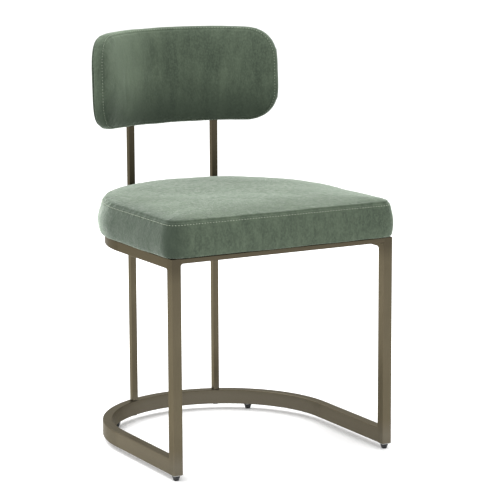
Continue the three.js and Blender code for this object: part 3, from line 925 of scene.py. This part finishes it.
def seat_pad():
    """The thick seat cushion: swelled as cloth, then creased, stitched and pressed in."""
    pad, seam = seat_block()
    remesh(pad, voxel=5 * MM)
    tree = tree_of(seam)
    move_points(pad, lambda p, n: seat_crown(p, 0.6))
    move_points(pad, seat_bulge)

    def held(p):
        """The hem and a narrow strip along the seam stay where they are."""
        return 1.0 if p.z < SEAT_BOTTOM + 7 * MM or tree.find(p)[2] < 4.5 * MM else 0.0

    swell(pad, held, PRESSURE, SEAT_CAP)
    subdivide_all(pad)
    refine(pad, lambda c: tree.find(c)[2] < 11 * MM)
    soft_dents(pad, height=1.2 * MM, size=70 * MM)
    gathers(pad, seam, reach=26 * MM, height=0.45 * MM, pitch=11 * MM)
    groove(pad, seam, reach=3.6 * MM, depth=1.2 * MM)
    row = [p + seat_outward(p) * 2 * MM - Vector((0, 0, SEAT_ROW)) for p in seam]
    groove(pad, row, reach=3 * MM, depth=0.5 * MM)
    move_points(pad, beside_posts)
    move_points(pad, seat_underside)
    only(pad)
    bpy.ops.object.shade_smooth()
    dress(pad, SEAT_VELVET)
    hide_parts("seat_cover_band", "seat_cover_top", "seat_foam")
    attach(pad, "chair")
    stitches("seat_stitching", pad, row[::PITCH], radius=0.7 * MM)


# ---------------------------------------------------------------- back pad

BACK_LOW, BACK_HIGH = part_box("back_cover_front")
BACK_RADIUS = 259 * MM  # of the pad's middle surface, seen from above
AXIS_TO_POSTS = 237.6 * MM
BACK_AXIS_Y = (POST_LOW.y + POST_HIGH.y) / 2 - AXIS_TO_POSTS
BACK_MID_Z = (BACK_LOW.z + BACK_HIGH.z) / 2 - 1 * MM
BACK_HALF_LENGTH = 233 * MM
BACK_HALF_HEIGHT = 93.5 * MM
BACK_CORNER = 72 * MM
BACK_LEAN = 0.035  # backward lean, as a slope
BACK_ARCH = 3 * MM  # how far the upper and lower edges bow out at the middle
FRONT_ROUND = 9 * MM
BACK_SEAM = -13.5 * MM  # the front and the rear of the pad, from its middle surface
BACK_HEM = 9.2 * MM
BACK_SEAM_INSET, BACK_ROW_INSET = 5 * MM, 1.8 * MM  # where both lie on the front rounding
BACK_CROWN = ((9 * MM, 4.5 * MM), (18 * MM, 3 * MM), (24 * MM, 1.5 * MM))  # run and rise
BACK_CAP = 8 * MM
BOARD_INSET = 12 * MM
PANEL_FRONT, PANEL_REAR = BACK_HEM + 0.4 * MM, BACK_HEM + 3.4 * MM
PANEL_CROWN = 2.0 * MM


def wrap(p):
    """Bends a point of the flat pad (x along, y through, z up) round the sitter's back."""
    rise = BACK_ARCH * (1 - (p.x / BACK_HALF_LENGTH) ** 2) * p.z / BACK_HALF_HEIGHT
    angle = p.x / BACK_RADIUS
    radius = BACK_RADIUS + p.y
    height = p.z + rise
    return Vector((radius * math.sin(angle),
                   BACK_AXIS_Y + radius * math.cos(angle) + BACK_LEAN * height,
                   BACK_MID_Z + height))


def flat_pad(name, inset, front, rear):
    """A flat block with the back pad's outline, drawn in by inset."""
    length, height = BACK_HALF_LENGTH - inset, BACK_HALF_HEIGHT - inset
    block = cube(name, (-length, front, -height), (length, rear, height))
    edit(block)
    pick(block.data.edges, block.data, lambda e, c: along(block.data, e, 1))
    bpy.ops.mesh.bevel(offset=BACK_CORNER - inset, segments=16, profile=0.56, affect="EDGES")
    done()
    return block


def on_rounding(outline, inset):
    """The line on the rounded front edge that lies this far inside the pad's outline."""
    lean = math.acos(1 - inset / FRONT_ROUND)
    depth = FRONT_ROUND * (1 - math.sin(lean))
    line = []
    for i, point in enumerate(outline):
        ahead = outline[(i + 1) % len(outline)] - outline[i - 1]
        out = Vector((ahead.z, 0, -ahead.x)).normalized()
        if out.dot(point) < 0:
            out.negate()
        line.append(point - out * inset + Vector((0, depth, 0)))
    return line


def back_pad():
    """The curved front cushion, with its seam and stitching on the rounded front edge."""
    pad = flat_pad("back_pad", -0.5 * MM, BACK_SEAM, BACK_HEM)
    outline = loop_points(pad.data, lambda p: p.y < BACK_SEAM + 1e-5,
                          lambda p: (p.x, p.z), STEP)
    edit(pad)
    pick(pad.data.edges, pad.data, lambda e, c: c.y < BACK_SEAM + 1e-5)
    bpy.ops.mesh.bevel(offset=FRONT_ROUND, segments=5, profile=0.5, affect="EDGES")
    done()
    seam = on_rounding(outline, BACK_SEAM_INSET)
    row = on_rounding(outline, BACK_ROW_INSET)
    edit(pad, "FACE")
    pick(pad.data.polygons, pad.data, lambda f, c: c.y < BACK_SEAM + 1e-5)
    for inward, rise in BACK_CROWN:
        bpy.ops.mesh.inset(thickness=inward)
        bpy.ops.transform.translate(value=(0, -rise, 0))
    done()
    remesh(pad, voxel=4.5 * MM)
    held_line = tree_of(seam)
    pinned = [held_line.find(v.co)[2] < 4.2 * MM or v.co.y > 5 * MM for v in pad.data.vertices]
    set_points(pad.data, [wrap(v.co) for v in pad.data.vertices])
    seam = [wrap(p) for p in seam]
    order = tree_of([v.co for v in pad.data.vertices])
    swell(pad, lambda p: 1.0 if pinned[order.find(p)[1]] else 0.0, PRESSURE, BACK_CAP)
    subdivide_all(pad)
    tree = tree_of(seam)
    refine(pad, lambda c: tree.find(c)[2] < 10 * MM)
    soft_dents(pad, height=1.0 * MM, size=60 * MM)
    gathers(pad, seam, reach=22 * MM, height=0.6 * MM, pitch=10 * MM)
    groove(pad, seam, reach=3.2 * MM, depth=1.1 * MM)
    row = [wrap(p) for p in row]
    groove(pad, row, reach=2.6 * MM, depth=0.4 * MM)
    only(pad)
    bpy.ops.object.shade_smooth()
    dress(pad, BACK_VELVET)
    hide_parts("back_cover_band", "back_cover_front", "back_foam")
    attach(pad, "chair")
    stitches("back_stitching", pad, row[::PITCH], radius=0.42 * MM)


def back_board():
    """The bent plywood inside the pad, drawn in so that the cover clears it all round."""
    board = flat_pad("bent_board", BOARD_INSET, BACK_SEAM + 2.5 * MM, BACK_HEM - 2.5 * MM)
    remesh(board, voxel=3 * MM)
    set_points(board.data, [wrap(v.co) for v in board.data.vertices])
    smooth(board)
    dress(board, PLYWOOD)
    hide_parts("back_board")
    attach(board, "chair")


def rear_panel():
    """The covered panel that closes the back pad from behind, slightly crowned."""
    panel = flat_pad("back_panel", 3.5 * MM, PANEL_FRONT, PANEL_REAR)
    edit(panel)
    pick(panel.data.edges, panel.data, lambda e, c: not along(panel.data, e, 1))
    bpy.ops.mesh.bevel(offset=1.2 * MM, segments=3, profile=0.5, affect="EDGES")
    done()
    remesh(panel, voxel=2 * MM)

    def crown(p, n):
        across = 1 - (p.x / BACK_HALF_LENGTH) ** 4
        up = 1 - (p.z / BACK_HALF_HEIGHT) ** 4
        rear = (p.y - BACK_HEM) / (3.4 * MM)
        return Vector((0, PANEL_CROWN * rear * max(across, 0) * max(up, 0), 0))

    move_points(panel, crown)
    set_points(panel.data, [wrap(v.co) for v in panel.data.vertices])
    soft_dents(panel, height=0.5 * MM, size=50 * MM)
    only(panel)
    bpy.ops.object.shade_smooth()
    dress(panel, BACK_VELVET)
    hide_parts("back_rear_panel")
    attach(panel, "chair")


seat_pad()
back_board()
back_pad()
rear_panel()


# ---------------------------------------------------------------- camera, floor and light

CAMERA_PLACE = (-2.15245, -3.96528, 1.20455)
CAMERA_LENS = 167.31
CAMERA_TURN, CAMERA_PITCH, CAMERA_ROLL = -29.156, 90 - 10.358, -0.248  # degrees
KEY_PLACE, KEY_SIZE, KEY_POWER = (-0.7, 1.0, 3.6), 4.5, 210
MID_CHAIR = (0, 0, 0.45)


def camera():
    data = bpy.data.cameras.new("camera")
    data.sensor_width = 36
    data.lens = CAMERA_LENS
    made = bpy.data.objects.new("camera", data)
    bpy.context.scene.collection.objects.link(made)
    turn = (
        Matrix.Rotation(math.radians(CAMERA_TURN), 4, "Z")
        @ Matrix.Rotation(math.radians(CAMERA_PITCH), 4, "X")
        @ Matrix.Rotation(math.radians(CAMERA_ROLL), 4, "Z")
    )
    made.matrix_world = Matrix.Translation(CAMERA_PLACE) @ turn
    bpy.context.scene.camera = made


def studio():
    """A pale floor, an even white surround and one large lamp above."""
    bpy.ops.object.select_all(action="DESELECT")
    bpy.ops.mesh.primitive_plane_add(size=80, location=(0, 0, 0))
    floor = start("floor")
    material, tree, shader = node_tree("pale_floor")
    shader.inputs["Base Color"].default_value = (0.96, 0.96, 0.96, 1)
    shader.inputs["Roughness"].default_value = 0.9
    shader.inputs["Specular IOR Level"].default_value = 0.0
    shader.inputs["Emission Color"].default_value = (1, 1, 1, 1)
    shader.inputs["Emission Strength"].default_value = 0.12
    dress(floor, material)
    world = bpy.data.worlds.new("studio")
    world.use_nodes = True
    world.node_tree.nodes["Background"].inputs["Color"].default_value = (1, 1, 1, 1)
    world.node_tree.nodes["Background"].inputs["Strength"].default_value = 1.05
    bpy.context.scene.world = world
    area_light("key", KEY_PLACE, MID_CHAIR, KEY_SIZE, KEY_POWER)
    bpy.context.scene.view_settings.view_transform = "Standard"


def area_light(name, place, target, size, power):
    data = bpy.data.lights.new(name, "AREA")
    data.size = size
    data.energy = power
    lamp = bpy.data.objects.new(name, data)
    lamp.location = place
    aim = Vector(target) - Vector(place)
    lamp.rotation_euler = aim.to_track_quat("-Z", "Y").to_euler()
    bpy.context.scene.collection.objects.link(lamp)


camera()
studio()
